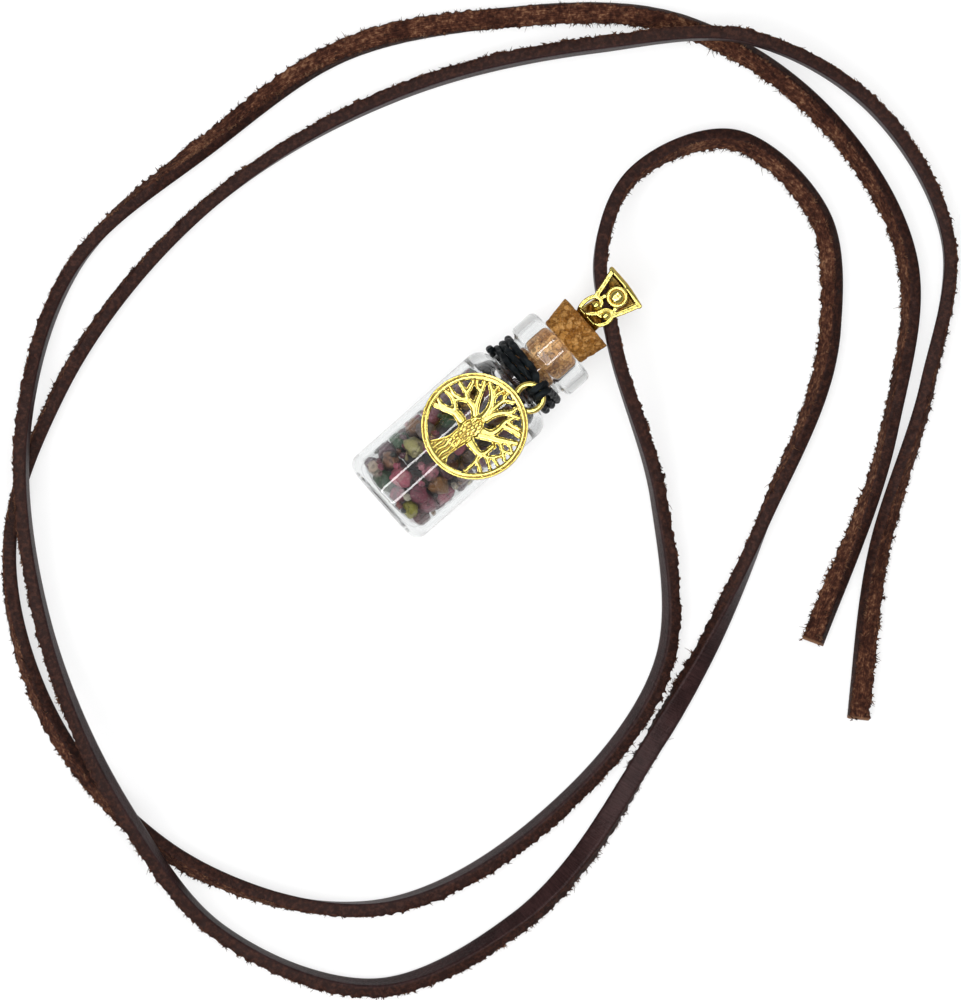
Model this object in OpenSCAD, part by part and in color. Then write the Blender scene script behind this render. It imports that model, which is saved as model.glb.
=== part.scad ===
// Bottle pendant lying on its side, on a leather strap.
// Millimetres. +X runs from the bottle's base to its bail, +Z is up from the table.
// The origin is on the table, under the middle of the pendant.

/* [Bottle] */
// Outer diameter of the glass body
body_d = 15; // [13:0.5:18]
// Thickness of the glass wall
wall_t = 1.05; // [0.8:0.05:1.3]
// Thickness of the glass base
base_t = 1.3; // [1:0.1:2.5]
// Length of the straight body, measured from the base
body_len = 23.2; // [20:0.2:32]
// Radius of the rounded corner round the base
base_round = 1.8; // [1:0.1:2.5]
// Length of the round shoulder between body and neck
shoulder_len = 2.4; // [1.8:0.1:3.2]
// Outer diameter of the neck
neck_d = 10; // [9.4:0.1:10.6]
// Length of the neck between shoulder and lip
neck_len = 4.4; // [4.2:0.1:5]
// Outer diameter of the lip
lip_d = 12.5; // [11.6:0.1:14]
// Length of the lip along the bottle
lip_len = 4.4; // [3:0.1:5]
// Radius of the lip's rounded edges
lip_round = 0.9; // [0.4:0.1:1.2]
// Diameter of the bore through lip and neck
bore_d = 7.2; // [6.8:0.1:7.6]

/* [Cork] */
// Length of cork standing out of the lip
cork_out = 4.6; // [3:0.1:6]
// Length of cork pushed into the bore
cork_in = 7.6; // [6:0.1:8.4]
// Diameter of the cork just above the lip
cork_lip_d = 7.6; // [7.2:0.1:8.4]
// Diameter of the cork's top
cork_top_d = 9.1; // [8.4:0.1:10]
// Chamfer round the cork's two ends
cork_chamfer = 0.3; // [0.1:0.1:0.6]

/* [Stone chips] */
// Usual distance between the middles of neighbouring chips
chip_step = 2.7; // [2.5:0.1:3.4]
// Longest reach of a chip from its middle
chip_reach = 2.1; // [1.6:0.1:2.4]
// Free space left between chips, and between chips and glass
chip_gap = 0.12; // [0.1:0.01:0.2]

/* [Neck thread] */
// Thickness of the waxed thread
thread_d = 1; // [0.8:0.05:1]
// Free space between turns of the thread, and between thread and what it winds round
thread_gap = 0.05; // [0.04:0.01:0.06]

/* [Tree charm] */
// Outer diameter of the charm's disc
charm_d = 15.2; // [13:0.2:16]
// Width of the charm's rim
rim_w = 0.95; // [0.6:0.05:1.1]
// Thickness of the rim
charm_t = 1.4; // [1:0.1:1.8]
// Thickness of the branches
branch_t = 1; // [0.7:0.05:1.2]
// Width of the branches against their drawn widths
branch_swell = 1.2; // [0.8:0.05:1.3]
// Thickness of the trunk
trunk_t = 1.2; // [0.9:0.05:1.4]
// Outer diameter of the charm's loop
loop_d = 4.7; // [4.4:0.1:5]
// Thickness of the loop's wire
loop_wire = 0.9; // [0.8:0.05:1]
// Angle by which the loop is turned off the bottle's line
loop_turn = 14; // [10:1:18]
// Angle by which the charm leans as it lies on the glass
charm_lean = 5; // [0:0.5:7]
// Free space under the charm
charm_gap = 0.08; // [0.05:0.01:0.2]

/* [Bail] */
// Length of the bail from the cork to its far end
bail_len = 8; // [7.4:0.1:9]
// Height of the bail over both its plates
bail_h = 4.8; // [4.6:0.1:5.4]
// Thickness of the plates and of the end walls
plate_t = 0.55; // [0.45:0.05:0.6]
// Width of the bail's scroll wires
scroll_w = 0.48; // [0.4:0.02:0.56]
// Diameter of the round boss
boss_d = 2.9; // [2.4:0.1:3]
// Diameter of the peg in the cork
peg_d = 1.3; // [1:0.1:1.8]
// Length of the peg in the cork
peg_len = 5; // [3:0.1:6]
// Free space round the peg and under the bail's foot
peg_gap = 0.05; // [0.03:0.01:0.1]

/* [Leather strap] */
// Width of the strap
strap_w = 3; // [2.6:0.1:3]
// Thickness of the strap
strap_t = 2; // [1.6:0.1:2]
// Chamfer of the strap's four edges
strap_chamfer = 0.25; // [0.1:0.05:0.4]

/* [Hidden] */
$fn = 64;

body_r = body_d / 2;
inner_r = body_r - wall_t;
neck_r = neck_d / 2;
bore_r = bore_d / 2;
lip_r = lip_d / 2;
neck_x = body_len + shoulder_len;
lip_x = neck_x + neck_len;
mouth_x = lip_x + lip_len;
cork_x = mouth_x + cork_out;
pendant_len = cork_x + bail_len;
base_inner_round = max(0.5, base_round - wall_t / 2);
inner_shoulder = shoulder_len + wall_t;

// Radial room between the cork and the bore that squeezes it
cork_gap = 0.05;
// The photograph's right side, seen from above, turned against the bottle's line
photo_turn = 41.5;
// Distance from the cork's top to the middle of the strap in the bail
eye_reach = 3.35;

// Every node is drawn along the bottle's line, from the base, and then laid on the table
module laid() translate([-pendant_len / 2, 0, body_r]) children();

// Points of an arc about c, with half-axes a and b, from angle u to angle v
function arc(c, a, b, u, v, n = 10) =
    [for (i = [0:n]) let (t = u + (v - u) * i / n) [c[0] + a * cos(t), c[1] + b * sin(t)]];

// Turns a profile of [radius, height] points into a round solid along X
module turned(profile) rotate([0, 90, 0]) rotate_extrude($fn = 96) polygon(profile);

function unit(v) = v / norm(v);
function gaps_of(p) = [for (i = [0:len(p) - 2]) max(norm([for (k = [0:2]) p[i + 1][k] - p[i][k]]), 0.001)];
// Slope at point i of a route, from its two neighbours and the distances to them
function slope(p, d, i) =
    i == 0 ? (p[1] - p[0]) / d[0] :
    i == len(p) - 1 ? (p[i] - p[i - 1]) / d[i - 1] :
    ((p[i] - p[i - 1]) * d[i] / d[i - 1] + (p[i + 1] - p[i]) * d[i - 1] / d[i]) / (d[i - 1] + d[i]);
// Smooth route through points p, with a new point about every step along it
function smooth_route(p, step) =
    let (d = gaps_of(p), m = [for (i = [0:len(p) - 1]) slope(p, d, i)])
    concat([for (i = [0:len(p) - 2]) let (n = max(1, round(d[i] / step))) for (k = [0:n - 1])
        let (t = k / n)
        p[i] * (1 + 2 * t) * pow(1 - t, 2) + m[i] * d[i] * t * pow(1 - t, 2)
        + p[i + 1] * t * t * (3 - 2 * t) - m[i + 1] * d[i] * t * t * (1 - t)],
        [p[len(p) - 1]]);

// Closed skin over rings of points, all with as many points
module skin(rings) {
    n = len(rings[0]);
    last = (len(rings) - 1) * n;
    sides = [for (i = [0:len(rings) - 2]) for (k = [0:n - 1]) for (half = [0:1])
        let (a = i * n + k, b = i * n + (k + 1) % n)
        half == 0 ? [a, b, b + n] : [a, b + n, a + n]];
    polyhedron([for (r = rings) for (q = r) q],
        concat(sides, [[for (k = [n - 1:-1:0]) k]], [[for (k = [0:n - 1]) last + k]]));
}

// Glass bottle

module glass_bottle() {
    outside = concat(
        [[0, 0]],
        arc([body_r - base_round, base_round], base_round, base_round, -90, 0),
        arc([neck_r, body_len], body_r - neck_r, shoulder_len, 0, 90, 14),
        [[neck_r, lip_x]],
        arc([lip_r - lip_round, lip_x + lip_round], lip_round, lip_round, -90, 0, 6),
        arc([lip_r - lip_round, mouth_x - lip_round], lip_round, lip_round, 0, 90, 6));
    mouth_round = 0.4;
    inside = concat(
        arc([bore_r + mouth_round, mouth_x - mouth_round], mouth_round, mouth_round, 90, 180, 4),
        [for (i = [0:8]) let (s = (1 + cos(180 * i / 8)) / 2)
            [bore_r + (inner_r - bore_r) * (1 - s), neck_x - inner_shoulder * i / 8]],
        arc([inner_r - base_inner_round, base_t + base_inner_round],
            base_inner_round, base_inner_round, 0, -90, 6),
        [[0, base_t]]);
    color([0.86, 0.93, 0.94, 0.35]) laid() turned(concat(outside, inside));
}

// Cork stopper, drilled for the bail's peg

module cork_stopper() {
    tight_r = bore_r - cork_gap;
    outline = [
        [0, mouth_x - cork_in], [tight_r - cork_chamfer, mouth_x - cork_in],
        [tight_r, mouth_x - cork_in + cork_chamfer], [tight_r, mouth_x],
        [cork_lip_d / 2, mouth_x + cork_gap], [cork_top_d / 2, cork_x - cork_chamfer],
        [cork_top_d / 2 - cork_chamfer, cork_x], [0, cork_x]];
    color([0.72, 0.52, 0.33]) laid() difference() {
        turned(outline);
        translate([cork_x - peg_len - 2 * peg_gap, 0, 0]) rotate([0, 90, 0])
            cylinder(d = peg_d + 2 * peg_gap, h = peg_len + 1);
    }
}

// Stone chips: shells of chips round the bottle's line, each kept to its own share of the room

// Distance of each shell's middle from the glass, in chip steps
shells = [0.46, 1.34, 2.2];
seed = 41;
golden = (1 + sqrt(5)) / 2;
// The twelve directions in which a chip's corners lie, and the faces between them
corner_dirs = [for (q = [[0, 1, golden], [0, -1, golden], [0, 1, -golden], [0, -1, -golden],
    [1, golden, 0], [-1, golden, 0], [1, -golden, 0], [-1, -golden, 0],
    [golden, 0, 1], [golden, 0, -1], [-golden, 0, 1], [-golden, 0, -1]]) unit(q)];
chip_faces = [
    [0, 8, 1], [0, 1, 10], [0, 10, 5], [0, 5, 4], [0, 4, 8],
    [3, 2, 11], [3, 9, 2], [3, 6, 9], [3, 7, 6], [3, 11, 7],
    [1, 8, 6], [8, 4, 9], [4, 5, 2], [5, 10, 11], [10, 1, 7],
    [6, 8, 9], [9, 4, 2], [2, 5, 11], [11, 10, 7], [7, 1, 6]];

room_x0 = base_t + chip_gap;
// Chips of the body end where the inside of the shoulder is halfway down to the bore
room_x1 = neck_x - inner_shoulder / 2;
neck_room_x1 = mouth_x - cork_in - chip_gap;
room_len = room_x1 - room_x0;
// Free radius at a place along the bottle
function room_at(x) =
    let (corner = max(0, base_t + base_inner_round - x))
    let (down = max(0, x - (neck_x - inner_shoulder)) / inner_shoulder)
    let (in_corner = sqrt(max(0, base_inner_round * base_inner_round - corner * corner)) - base_inner_round)
    inner_r - chip_gap + (corner > 0 ? in_corner : (bore_r - inner_r) * min(1, down));
// Middles of all chips: shell by shell along the body, then three in the neck
function chip_middles() =
    let (rows = max(2, floor(room_len / (0.93 * chip_step))), neck_ring = (bore_r - chip_gap) / 2)
    concat([for (s = [0:len(shells) - 1])
        let (r = inner_r - chip_gap - shells[s] * chip_step) if (r > -0.3 * chip_step)
        let (n = max(1, floor(2 * PI * max(r, 0.1) / chip_step)))
        for (i = [0:rows - 1]) for (k = [0:n - 1])
            let (j = rands(-1, 1, 3, seed + 971 * s + 53 * i + k))
            let (turn = 360 * (k + 0.5 * (i % 2) + 0.26 * j[0]) / n)
            let (reach = max(r, 0) + 0.14 * chip_step * j[1])
            let (row = i + 0.5 + 0.36 * j[2] * (i == 0 || i == rows - 1 ? 0.5 : 1))
            [room_x0 + room_len * row / rows, reach * cos(turn), reach * sin(turn)]],
        [for (k = [0:2]) [(room_x1 + neck_room_x1) / 2, neck_ring * cos(120 * k), neck_ring * sin(120 * k)]]);

// How far a chip may reach from its middle c along d, before the glass
function to_glass(c, d) =
    let (in_neck = c[0] > room_x1, r = in_neck ? bore_r - chip_gap : inner_r - chip_gap)
    let (a = max(d[1] * d[1] + d[2] * d[2], 0.0001), b = c[1] * d[1] + c[2] * d[2])
    let (side = (-b + sqrt(b * b + a * (r * r - c[1] * c[1] - c[2] * c[2]))) / a)
    let (ahead = (in_neck ? neck_room_x1 : room_x1) - c[0], behind = c[0] - room_x0)
    min(side, (d[0] > 0 ? ahead : behind) / max(abs(d[0]), 0.0001));
// The same before the plane halfway to each neighbour
function to_neighbours(c, d, near) =
    min([for (q = near) let (way = q - c, toward = d * unit(way))
        toward > 0.01 ? (norm(way) - chip_gap) / 2 / toward : 2 * chip_reach]);
// Reach of an egg shape along d, with its long axis and its length against its width
function egg(d, long, ratio) = let (c = d * long) 1 / sqrt(c * c + (1 - c * c) * ratio * ratio);
// A corner drawn back toward the bottle's line where the room narrows
function within(p) =
    let (k = min(1, room_at(p[0]) / max(norm([p[1], p[2]]), 0.01))) [p[0], p[1] * k, p[2] * k];

module stone_chips() {
    middles = chip_middles();
    color([0.62, 0.42, 0.45]) laid() for (i = [0:len(middles) - 1]) {
        c = middles[i];
        near = [for (q = middles) if (q != c && norm(q - c) < 2 * chip_reach) q];
        a = rands(0, 360, 2, seed + 7 * i);
        size = rands(0.8, 1, 2, seed + 13 * i);
        long = unit(rands(-1, 1, 3, seed + 29 * i));
        turned_dirs = [for (d = corner_dirs)
            let (e = [d[0] * cos(a[0]) - d[1] * sin(a[0]), d[0] * sin(a[0]) + d[1] * cos(a[0]), d[2]])
            [e[0], e[1] * cos(a[1]) - e[2] * sin(a[1]), e[1] * sin(a[1]) + e[2] * cos(a[1])]];
        corners = [for (d = turned_dirs)
            let (reach = chip_reach * size[0] * egg(d, long, 0.6 + size[1] * 0.7))
            within(c + d * min(reach, to_glass(c, d), to_neighbours(c, d, near)))];
        polyhedron(corners, chip_faces);
    }
}

// Tree charm: pierced disc with a cast loop, lying on the glass and leaning

open_r = charm_d / 2 - rim_w;
loop_mid_r = (loop_d - loop_wire) / 2;
// How far the loop reaches into the disc, so that its hole just clears the rim
loop_sunk = 1.2;
loop_reach = charm_d / 2 + loop_d / 2 - loop_sunk;
// Place of the disc's middle along the bottle and across it
charm_x = 17.2;
charm_y = -0.65;
charm_lift = body_r + charm_gap;
// The place across, measured along the leaning disc
charm_across = (charm_y - (charm_lift + charm_t / 2) * sin(charm_lean)) / cos(charm_lean);
// Places a child that is drawn about the disc's middle on the leaning underside
module leaning() {
    laid() rotate([-charm_lean, 0, 0]) translate([charm_x, charm_across, charm_lift]) children();
}

// Trunk's line and widths, in shares of the open radius
trunk = [
    [-1.0, 0.12], [-0.8, 0.11], [-0.56, 0.05], [-0.3, 0.03], [-0.08, 0.02], [0.12, -0.01], [0.22, -0.02]];
trunk_widths = [0.66, 0.42, 0.34, 0.38, 0.4, 0.28, 0.12];
// Branches as [start width, end width, points], in the same shares
branches = [
    [0.2, 0.1, [[-0.2, 0.1], [-0.12, 0.3], [-0.11, 0.5], [-0.2, 0.68], [-0.29, 0.84], [-0.35, 0.98]]],
    [0.11, 0.09, [[-0.11, 0.5], [0.02, 0.68], [0.06, 0.82], [0.03, 1.0]]],
    [0.1, 0.09, [[-0.18, 0.66], [-0.22, 0.82], [-0.19, 1.0]]],
    [0.16, 0.09, [[0.1, 0.1], [0.26, 0.34], [0.27, 0.5], [0.18, 0.63], [0.05, 0.7]]],
    [0.1, 0.08, [[0.26, 0.5], [0.33, 0.66], [0.37, 0.82], [0.38, 0.95]]],
    [0.09, 0.07, [[0.17, 0.64], [0.13, 0.8], [0.16, 0.98]]],
    [0.16, 0.09, [[0.06, 0.06], [0.28, 0.29], [0.5, 0.42], [0.68, 0.51], [0.83, 0.6]]],
    [0.09, 0.08, [[0.58, 0.47], [0.62, 0.62], [0.71, 0.72]]],
    [0.1, 0.09, [[0.31, 0.64], [0.46, 0.68], [0.6, 0.74], [0.66, 0.8]]],
    [0.18, 0.09, [[0.1, 0.02], [0.44, 0.05], [0.66, 0.18], [0.78, 0.33], [0.86, 0.5]]],
    [0.08, 0.08, [[0.74, 0.24], [0.86, 0.29], [0.98, 0.3]]],
    [0.08, 0.08, [[0.66, 0.17], [0.82, 0.19], [1.0, 0.15]]],
    [0.12, 0.08, [[0.36, 0.01], [0.62, 0.01], [0.82, -0.01], [0.91, -0.1], [0.96, -0.2]]],
    [0.08, 0.08, [[0.8, 0.0], [0.9, 0.06], [1.0, 0.07]]],
    [0.14, 0.09, [[0.24, -0.04], [0.5, -0.1], [0.65, -0.2], [0.78, -0.29], [0.94, -0.31]]],
    [0.08, 0.08, [[0.67, -0.22], [0.76, -0.38], [0.83, -0.52]]],
    [0.16, 0.09, [[0.02, -0.1], [0.15, -0.34], [0.35, -0.39], [0.54, -0.37], [0.74, -0.42]]],
    [0.08, 0.08, [[0.58, -0.38], [0.61, -0.52], [0.68, -0.7]]],
    [0.1, 0.13, [[0.46, -0.4], [0.54, -0.6], [0.6, -0.8]]],
    [0.2, 0.1, [[-0.1, -0.08], [0.06, -0.34], [0.18, -0.55], [0.3, -0.71], [0.44, -0.88]]],
    [0.09, 0.08, [[0.19, -0.56], [0.12, -0.73], [0.05, -0.86], [-0.02, -0.98]]],
    [0.07, 0.07, [[0.1, -0.8], [0.17, -0.9], [0.19, -1.0]]],
    [0.08, 0.07, [[0.3, -0.71], [0.27, -0.84], [0.21, -0.95]]],
    [0.2, 0.1, [[-0.28, 0.0], [-0.31, -0.28], [-0.32, -0.46], [-0.3, -0.58]]],
    [0.1, 0.1, [[-0.32, -0.5], [-0.2, -0.58], [-0.08, -0.58], [0.0, -0.58]]],
    [0.1, 0.07, [[-0.31, -0.52], [-0.23, -0.68], [-0.12, -0.78], [-0.02, -0.83], [0.05, -0.86]]],
    [0.07, 0.07, [[-0.15, -0.76], [-0.17, -0.88], [-0.2, -1.0]]],
    [0.08, 0.07, [[-0.24, -0.66], [-0.31, -0.8], [-0.38, -0.94]]],
    [0.09, 0.08, [[-0.32, -0.5], [-0.46, -0.58], [-0.5, -0.7], [-0.57, -0.84]]],
    [0.08, 0.07, [[-0.44, -0.56], [-0.62, -0.59], [-0.82, -0.57]]]];
// The hook on the lower branch ends in a round bead: place and radius in the same shares
bead = [0.01, -0.59, 0.065];

// Flat stroke of changing width along a route of points
function stroke_outline(route, widths) =
    let (n = len(route) - 1)
    let (side = [for (i = [0:n]) let (t = unit(route[min(i + 1, n)] - route[max(i - 1, 0)])) [-t[1], t[0]]])
    concat([for (i = [0:n]) route[i] + side[i] * widths[i] / 2],
        [for (i = [n:-1:0]) route[i] - side[i] * widths[i] / 2]);
// Smooth route through points in one plane
function flat_route(p) =
    [for (q = smooth_route([for (e = p) [e[0], e[1], 0]], 0.12)) [q[0], q[1]]];
module stroke(points, w0, w1, scale_to) {
    route = flat_route(points) * scale_to;
    n = len(route) - 1;
    polygon(stroke_outline(route, [for (i = [0:n]) (w0 + (w1 - w0) * i / n) * scale_to]));
}
module round_stroke(points, w) {
    stroke(points, w, w, 1);
    for (e = [points[0], points[len(points) - 1]]) translate(e) circle(d = w, $fn = 16);
}
module tree_trunk() {
    polygon(stroke_outline(trunk * open_r, trunk_widths * open_r));
}
module tree_charm() {
    color([0.88, 0.72, 0.3]) leaning() {
        linear_extrude(charm_t) difference() {
            circle(d = charm_d, $fn = 96);
            circle(r = open_r, $fn = 96);
        }
        intersection() {
            union() {
                linear_extrude(branch_t) {
                    for (b = branches) stroke(b[2], b[0] * branch_swell, b[1] * branch_swell, open_r);
                    translate([bead[0], bead[1]] * open_r) circle(r = bead[2] * open_r, $fn = 16);
                }
                linear_extrude(trunk_t) tree_trunk();
            }
            cylinder(r = open_r + rim_w / 2, h = charm_t);
        }
        difference() {
            rotate(-loop_turn) translate([loop_reach, 0, charm_t / 2]) rotate_extrude($fn = 48)
                translate([loop_mid_r, 0]) circle(d = loop_wire, $fn = 20);
            translate([0, 0, -charm_t]) cylinder(r = open_r + rim_w / 2, h = 3 * charm_t);
        }
    }
}

// Neck thread: wound round the neck, and twice round the wire of the charm's loop

turn_pitch = thread_d + thread_gap;
wind_r = neck_r + thread_gap + thread_d / 2;
wind_x = neck_x + thread_gap + thread_d / 2;
// Middle of the loop's wire on its cork side, at a distance off the loop's own middle
loop_x = charm_x + loop_reach * cos(loop_turn);
loop_across = charm_across - loop_reach * sin(loop_turn);
function wire_at(off) =
    let (y = loop_across + off, z = charm_lift + charm_t / 2)
    [loop_x + sqrt(loop_mid_r * loop_mid_r - off * off),
        y * cos(charm_lean) + z * sin(charm_lean), z * cos(charm_lean) - y * sin(charm_lean)];
// Point of the winding: angle a runs down over the side away from the loop, and lift is the slack
// above the neck in thread diameters
function wound(a, lift = 0.02) =
    let (r = wind_r + lift * thread_d)
    [wind_x + turn_pitch * max(a, 0) / 360, r * sin(180 + a), r * cos(180 + a)];
// Two turns round the wire, side by side: up on its cork side, over the top, down through the hole and under
wrap_r = (loop_wire + thread_d) / 2 + 2.6 * thread_gap;
wrap = [for (t = [12:32:620]) wire_at(turn_pitch * (t - 360) / 360) + wrap_r * [cos(t), 0, sin(t)]];
// The winding leaves the neck at rise_turn and comes back at fall_turn
rise_turn = 825;
fall_turn = 925;
end_turn = 1120;
// Ways up to the wire and down from it, from the ends of the turns round it, in thread diameters
rise = [[0.2, -0.8, -3.4], [0.12, -0.3, -1.6]];
fall = [1.3, 1.2, -0.85];
// Part of v that is square to the unit vector along
function square_to(v, along) = unit(v - along * (v * along));

module neck_thread() {
    // The first end lies half on the first turn and sinks to the neck beside it
    points = concat(
        [for (a = [-110:22:0]) wound(a, 0.03 + turn_pitch / thread_d * sqrt(1 - pow(1 + a / 360, 2)))],
        [for (a = [25:25:rise_turn]) wound(a)],
        [for (step = rise) wrap[0] + step * thread_d],
        wrap,
        [wrap[len(wrap) - 1] + fall * thread_d, wound(fall_turn - 20, 0.12)],
        [for (a = [fall_turn:15:end_turn]) wound(a)]);
    route = smooth_route(points, 0.55 * thread_d);
    n = len(route) - 1;
    alongs = [for (i = [0:n]) unit(route[min(i + 1, n)] - route[max(i - 1, 0)])];
    // Each ring's first corner is carried along from the ring before, so the skin doesn't twist
    outs = [for (i = 0, out = [1, 0, 0]; i <= n; out = square_to(out, alongs[min(i + 1, n)]), i = i + 1)
        square_to(out, alongs[i])];
    rings = [for (i = [0:n]) let (out = outs[i], side = cross(outs[i], alongs[i]))
        [for (k = [0:7]) route[i] + thread_d / 2 * (out * cos(45 * k) + side * sin(45 * k))]];
    color([0.1, 0.12, 0.13]) laid() skin(rings);
}

// Bail: one casting of a pierced front plate, two end walls, a plain back plate and a peg

bail_x = cork_x + peg_gap;
// Scroll wires of the front plate, as routes from the foot, in millimetres from the cork's top
// and the bottle's line
upper_scroll = [
    [0.3, 2], [1, 2.25], [2.2, 2.3], [3.1, 2], [3.55, 1.4], [3.45, 0.75], [2.95, 0.35], [2.4, 0.5],
    [2.25, 0.95], [2.5, 1.25]];
lower_scroll = [
    [0.35, 0.95], [1.1, 0.45], [2, -0.15], [2.9, -0.4], [3.45, -0.95], [3.4, -1.6], [2.8, -2],
    [1.9, -2], [0.9, -1.5], [0.2, -0.8]];
drop_stem = [[2, -0.2], [2, -0.7], [2.4, -1.1]];
upper_side = [[3.5, 1.85], [5.5, 2.35], [7.5, 2.95]];
lower_side = [[3.5, -1.95], [5.4, -2.65], [7.1, -3.2]];
upper_strut = [[3.6, 1.1], [4.4, 1], [5.1, 0.6]];
lower_strut = [[3.5, -1.5], [4.3, -1.35], [5, -0.9]];
far_bar = [[7.65, 3.25], [7.6, 0], [7.1, -3.35]];
boss_at = [5.6, -0.2];
drop_at = [2.6, -1.2];
drop_d = 0.95;
// The foot on the cork: half its width, and how far its middle is off the bottle's line
foot_half = 1.95;
foot_y = 0.2;
// The drawn lengths above are those of a bail 8 mm long
stretch = bail_len / 8;

module bail_front() {
    scale(stretch) {
        for (wire = [upper_scroll, lower_scroll, drop_stem, upper_strut, lower_strut])
            round_stroke(wire, scroll_w);
        for (wire = [upper_side, lower_side]) round_stroke(wire, scroll_w * 1.25);
    }
    translate(drop_at * stretch) circle(d = drop_d, $fn = 24);
    translate(boss_at * stretch) circle(d = boss_d, $fn = 48);
    // Bridge from the boss to the far bar
    translate([boss_at[0] * stretch, boss_at[1] - plate_t / 2])
        square([bail_len - boss_at[0] * stretch - plate_t / 2, plate_t]);
}
module bail_ends() {
    translate([0, foot_y - foot_half]) square([plate_t, 2 * foot_half]);
    scale(stretch) round_stroke(far_bar, plate_t);
}
module bail_back() {
    polygon([[0, foot_y - foot_half], [0, foot_y + foot_half], [3.5 * stretch, 1.6],
        [7.6 * stretch, 2.7], [7.2 * stretch, -2.8], [3.5 * stretch, -1.6]]);
}
module bail() {
    // Outer radius of the four bends between the plates and the end walls
    bend = 1;
    outline = concat(
        arc([bail_len - bend, bail_h / 2 - bend], bend, bend, 0, 90, 6),
        arc([bend, bail_h / 2 - bend], bend, bend, 90, 180, 6),
        arc([bend, bend - bail_h / 2], bend, bend, 180, 270, 6),
        arc([bail_len - bend, bend - bail_h / 2], bend, bend, 270, 360, 6));
    color([0.88, 0.72, 0.3]) laid() translate([bail_x, 0, 0]) {
        intersection() {
            union() {
                translate([0, 0, bail_h / 2 - plate_t]) linear_extrude(plate_t) bail_front();
                translate([0, 0, -bail_h / 2]) linear_extrude(bail_h) bail_ends();
                translate([0, 0, -bail_h / 2]) linear_extrude(plate_t) bail_back();
            }
            rotate([90, 0, 0]) linear_extrude(4 * foot_half, center = true) polygon(outline);
        }
        translate([boss_at[0] * stretch, boss_at[1], bail_h / 2 - plate_t / 2]) {
            cylinder(d = boss_d, h = plate_t / 2 + 0.2);
            cylinder(d1 = boss_d * 0.6, d2 = boss_d * 0.3, h = plate_t / 2 + 0.45);
        }
        translate([-peg_len, 0, 0]) rotate([0, 90, 0]) cylinder(d = peg_d, h = peg_len + plate_t / 2);
    }
}

// Leather strap: one length with two bare ends, laid in loose loops and drawn through the bail

// Route from one end to the other: [x, y, lift, face], x to the photograph's right and y up it,
// from the middle of the bail. Lift is above lying on the table. Face is the angle from straight
// up to the rough side, toward the left of the way the route runs.
strap_route = [
    [30, -48, 0, 24], [41, -17.5, 0, 76], [43.5, 7, 0, 62], [31, 28, 0, 45], [11, 40.5, 0, 20],
    [-15, 41.5, 0, 2], [-37, 37, 0, -20], [-56, 24, 0, -50], [-76.5, 5, 0, -96], [-83, -18, 4, -98],
    [-80.5, -44, 2.3, -102], [-68, -73, 4.6, -114], [-55, -89.5, 0.3, -103], [-32, -97.5, 0, -113],
    [-12, -88, 0, -133], [8, -61, 0, -190], [23, -30.5, 0, -270], [32.5, -3, 0, -309], [31, 13, 0, -320],
    [18.5, 24, 0.7, -302], [3.5, 18, 3.4, -277], [-0.5, 6.5, 5.7, -267], [1.3, -4.4, 5.9, -266],
    [8, -27.5, 1.2, -255], [9, -50, 0, -243], [-6.5, -72, 0, -245], [-32, -86, 0, -260],
    [-60, -79.5, 0, -296], [-79, -59.5, 0, -300], [-85, -33, 0, -272], [-78, -12, 0, -280],
    [-57, 14.5, 0, -273], [-29, 31, 0, -261], [-1, 37.5, 2.9, -260], [21, 38.5, 3.5, -266],
    [38, 29.5, 0.5, -262], [49.5, 9.5, 0, -268], [46.5, -11, 0, -280], [39.5, -35, 0, -310],
    [36.5, -59, 0, -352]];
ring_step = 13;

module leather_strap() {
    route = smooth_route(strap_route, ring_step);
    n = len(route) - 1;
    half = [strap_w / 2, strap_t / 2];
    section = [for (q = [[1, 1], [-1, 1], [-1, -1], [1, -1]]) for (e = [0:1])
        let (cut = q[0] * q[1] > 0 ? [e == 0, e == 1] : [e == 1, e == 0])
        [q[0] * (half[0] - (cut[0] ? 0 : strap_chamfer)), q[1] * (half[1] - (cut[1] ? 0 : strap_chamfer))]];
    middles = [for (p = route)
        [p[0], p[1], (strap_w * abs(sin(p[3])) + strap_t * abs(cos(p[3]))) / 2 + max(p[2], 0)]];
    rings = [for (i = [0:n])
        let (along = unit(middles[min(i + 1, n)] - middles[max(i - 1, 0)]))
        let (left = unit(cross([0, 0, 1], along)), up = cross(along, left))
        let (rough = up * cos(route[i][3]) + left * sin(route[i][3]), edge = cross(along, rough))
        [for (q = section) middles[i] + edge * q[0] + rough * q[1]]];
    color([0.24, 0.16, 0.14])
        translate([cork_x + eye_reach - pendant_len / 2, 0, 0]) rotate(-photo_turn) skin(rings);
}

glass_bottle();
cork_stopper();
stone_chips();
neck_thread();
tree_charm();
bail();
leather_strap();
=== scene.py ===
import math
import random

import bmesh
import bpy
from mathutils import Euler, Matrix, Vector, noise
from mathutils.kdtree import KDTree


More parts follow.
